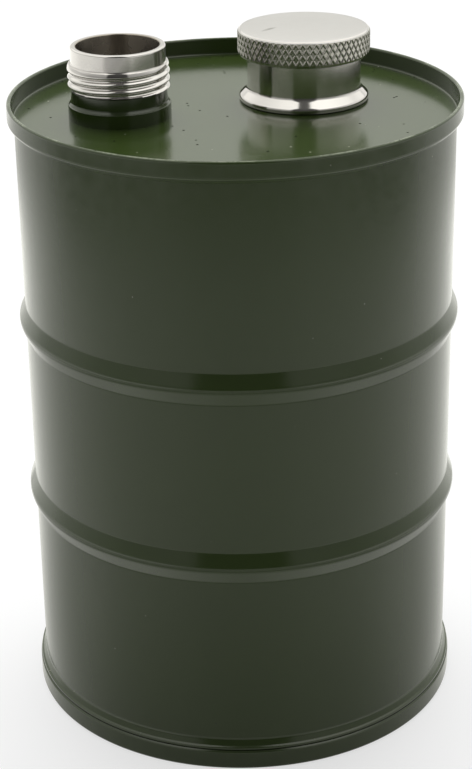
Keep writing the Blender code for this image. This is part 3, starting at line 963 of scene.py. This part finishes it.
def make_floor():
    """A plain pale floor. Camera rays see it near white, with the flask's soft shadow kept."""
    bm = bmesh.new()
    bmesh.ops.create_grid(bm, x_segments=1, y_segments=1, size=FLOOR_REACH)
    mesh = bpy.data.meshes.new("floor")
    bm.to_mesh(mesh)
    bm.free()
    floor = bpy.data.objects.new("floor", mesh)
    bpy.context.scene.collection.objects.link(floor)
    made = bpy.data.materials.new("pale_floor")
    made.use_nodes = True
    nodes = Nodes(made.node_tree)
    shader = made.node_tree.nodes["Principled BSDF"]
    shader.inputs["Base Color"].default_value = FLOOR_GREY
    shader.inputs["Roughness"].default_value = FLOOR_ROUGHNESS
    output = made.node_tree.nodes["Material Output"]
    diffuse = nodes.add("ShaderNodeBsdfDiffuse")
    diffuse.inputs["Color"].default_value = SEEN_GREY
    glow = nodes.add("ShaderNodeEmission")
    glow.inputs["Strength"].default_value = SEEN_GLOW
    seen = nodes.add("ShaderNodeAddShader")
    nodes.link(diffuse.outputs[0], seen.inputs[0])
    nodes.link(glow.outputs[0], seen.inputs[1])
    path = nodes.add("ShaderNodeLightPath")
    choice = nodes.add("ShaderNodeMixShader")
    nodes.link(path.outputs["Is Camera Ray"], choice.inputs[0])
    nodes.link(shader.outputs[0], choice.inputs[1])
    nodes.link(seen.outputs[0], choice.inputs[2])
    nodes.link(choice.outputs[0], output.inputs["Surface"])
    mesh.materials.append(made)
    floor.visible_glossy = False


BLACK = colour(0.0, 0.0, 0.0)
WHITE = colour(1.0, 1.0, 1.0)
# Light that falls evenly from all round
SOFT_LIGHT = colour(0.23, 0.23, 0.23)
# Brightness of the surroundings by bearing, where 0 is the far side and 1 the camera's side
SKY_LEVELS = (
    (0.0, 1.0), (0.067, 1.1), (0.25, 0.85), (0.413, 0.8), (0.587, 0.6),
    (0.75, 0.42), (0.883, 0.38), (0.950, 0.34), (0.964, 0.05),
)
HORIZON_LEVELS = (
    (0.0, 1.3), (0.25, 1.2), (0.4, 1.1), (0.7, 1.15), (0.90, 1.0), (0.95, 0.6), (1.0, 0.55),
)
FLOOR_LEVELS = (
    (0.0, 1.45), (0.067, 1.42), (0.12, 1.34), (0.25, 1.16), (0.362, 1.03),
    (0.456, 0.93), (0.615, 0.79), (0.74, 0.71), (0.92, 0.61), (1.0, 0.53),
)
OVERHEAD_LEVELS = ((0.0, 1.53), (0.3, 1.3), (0.6, 1.53), (0.925, 1.59), (0.96, 0.12))
# Share of the overhead brightness on the left and on the right
OVERHEAD_LEAN = (0.76, 1.0)
# Share of those levels by height, where 0 is straight down, 0.5 the horizon and 1 straight up
SKY_SHARES = (
    (0.5, 0.95), (0.60, 0.92), (0.63, 0.80), (0.638, 0.82),
    (0.644, 0.94), (0.652, 1.12), (0.68, 1.15), (0.72, 1.2),
)
FLOOR_SHARES = (
    (0.0, 0.92), (0.10, 0.92), (0.18, 0.5), (0.214, 0.45), (0.222, 0.48), (0.23, 0.58),
    (0.24, 0.72), (0.25, 1.0), (0.27, 0.97), (0.29, 1.02), (0.305, 1.08),
    (0.32, 1.10), (0.33, 0.98), (0.336, 0.65), (0.343, 0.06), (1.0, 0.06),
)
# The same towards the sides, where the floor stays lit further out
SIDE_SHARES = (
    (0.0, 0.66), (0.10, 0.66), (0.18, 0.5), (0.214, 0.5), (0.222, 0.55), (0.236, 0.62),
    (0.253, 0.70), (0.262, 0.78), (0.28, 0.95), (0.305, 0.97), (0.318, 1.05),
    (0.327, 1.10), (0.331, 1.05), (0.337, 0.93), (0.343, 0.80), (0.348, 0.60),
)
# Bearings between which the floor's sides change over to its front
SIDE_TO_FRONT = (0.25, 0.55)
# Upward slopes of a view line between which the floor changes over to the horizon, the horizon to
# the sky, and the sky to the light overhead
FLOOR_TO_HORIZON = (-0.286, -0.272)
HORIZON_TO_SKY = (-0.05, 0.02)
SKY_TO_OVERHEAD = (0.55, 0.70)
# Blue of the surroundings against their red and green
WARMTH = 0.94


def brightness_ramp(nodes, value, levels, tint=WARMTH):
    """Levels that follow a bearing round the horizon or a height, tinted in blue."""
    node = nodes.add("ShaderNodeValToRGB")
    stops = node.color_ramp.elements
    while len(stops) < len(levels):
        stops.new(0.5)
    for stop, (place, level) in zip(stops, levels):
        stop.position = place
        stop.color = colour(level, level, level * tint)
    nodes.link(value, node.inputs["Fac"])
    return node.outputs["Color"]


def brightness_by_height(nodes, bearing, levels, height, shares, side_shares=None):
    """Levels that follow a bearing, times a share that follows the height."""
    node = nodes.add("ShaderNodeMix", data_type="RGBA", blend_type="MULTIPLY")
    node.inputs["Factor"].default_value = 1.0
    nodes.link(brightness_ramp(nodes, bearing, levels), node.inputs["A"])
    share = brightness_ramp(nodes, height, shares, 1.0)
    if side_shares:
        side = brightness_ramp(nodes, height, side_shares, 1.0)
        share = nodes.mix(nodes.map_range(bearing, *SIDE_TO_FRONT), side, share)
    nodes.link(share, node.inputs["B"])
    return node.outputs["Result"]


def make_world():
    """White to the camera, and a plain soft light on the object.

    Glossy and transmission rays see a pale studio instead: light floor and walls, a bright
    ceiling, and a narrow dark opening on the camera's side.
    """
    world = bpy.data.worlds.new("studio")
    bpy.context.scene.world = world
    world.use_nodes = True
    nodes = Nodes(world.node_tree)
    background = world.node_tree.nodes["Background"]
    x, y, z = nodes.split(nodes.add("ShaderNodeTexCoord").outputs["Generated"])
    square = nodes.math("ADD", nodes.math("MULTIPLY", x, x), nodes.math("MULTIPLY", y, y))
    frontness = nodes.math("DIVIDE", nodes.math("MULTIPLY", y, -1.0), nodes.math("SQRT", square))
    bearing = nodes.math("MULTIPLY", nodes.math("ADD", frontness, 1.0), 0.5)
    height = nodes.math("MULTIPLY", nodes.math("ADD", z, 1.0), 0.5)
    sky = brightness_by_height(nodes, bearing, SKY_LEVELS, height, SKY_SHARES)
    floor = brightness_by_height(nodes, bearing, FLOOR_LEVELS, height, FLOOR_SHARES, SIDE_SHARES)
    horizon = brightness_ramp(nodes, bearing, HORIZON_LEVELS)
    lean = nodes.map_range(x, -1.0, 1.0, *OVERHEAD_LEAN)
    overhead = nodes.mix(lean, BLACK, brightness_ramp(nodes, bearing, OVERHEAD_LEVELS))
    light = nodes.mix(nodes.map_range(z, *FLOOR_TO_HORIZON), floor, horizon)
    light = nodes.mix(nodes.map_range(z, *HORIZON_TO_SKY), light, sky)
    light = nodes.mix(nodes.map_range(z, *SKY_TO_OVERHEAD), light, overhead)
    path = nodes.add("ShaderNodeLightPath").outputs
    mirrored = nodes.math("MAXIMUM", path["Is Glossy Ray"], path["Is Transmission Ray"])
    shown = nodes.mix(mirrored, SOFT_LIGHT, light)
    nodes.link(nodes.mix(path["Is Camera Ray"], shown, WHITE), background.inputs["Color"])
    background.inputs["Strength"].default_value = 1.0


# Sun lamp: its tilt towards the far side, its width and its strength
OVERHEAD_TILT = math.radians(25)
OVERHEAD_WIDTH = math.radians(60)
OVERHEAD_STRENGTH = 3.2


def make_overhead_light():
    """Soft light from above and a little behind, which the polished steel doesn't mirror."""
    data = bpy.data.lights.new("overhead_light", "SUN")
    data.energy = OVERHEAD_STRENGTH
    data.angle = OVERHEAD_WIDTH
    lamp = bpy.data.objects.new("overhead_light", data)
    bpy.context.scene.collection.objects.link(lamp)
    lamp.rotation_euler = (-OVERHEAD_TILT, 0.0, 0.0)
    lamp.visible_glossy = False


def make_camera():
    """The camera at the photograph's viewing angle."""
    data = bpy.data.cameras.new("camera")
    data.sensor_width = SENSOR_MM
    data.lens = FOCAL_PX * SENSOR_MM / IMAGE_HEIGHT_PX
    data.clip_start = CLIP_START
    camera = bpy.data.objects.new("camera", data)
    bpy.context.scene.collection.objects.link(camera)
    turn = Matrix.Rotation(0.5 * math.pi - VIEW_ELEVATION, 4, "X")
    roll = Matrix.Rotation(VIEW_ROLL, 4, "Z")
    back = Vector((0.0, -math.cos(VIEW_ELEVATION), math.sin(VIEW_ELEVATION)))
    place = Matrix.Translation(VIEW_TARGET + VIEW_DISTANCE * back)
    camera.matrix_world = place @ turn @ roll
    bpy.context.scene.camera = camera


def main():
    paint = make_paint()
    steels = {name: make_steel(name, *values) for name, values in STEELS.items()}
    polished = steels["polished_steel"]
    add_rub_mark(steels["satin_steel"], *RUB_MARK)
    make_drum_wall(paint, polished)
    make_top_end(paint)
    make_bottom_end(paint)
    make_neck_collar(paint)
    # The necks' bores get the steel whose darker colour is painted shade
    make_necks(paint, polished, steels["shaded_bore_steel"], steels["turned_steel"])
    make_cap_sleeve(steels["drawn_steel"], polished)
    make_cap_head(steels["satin_steel"], steels["knurled_steel"], polished)
    make_cap_liner(make_silicone())
    make_floor()
    make_world()
    make_overhead_light()
    make_camera()
    bpy.context.scene.view_settings.view_transform = "Standard"


main()
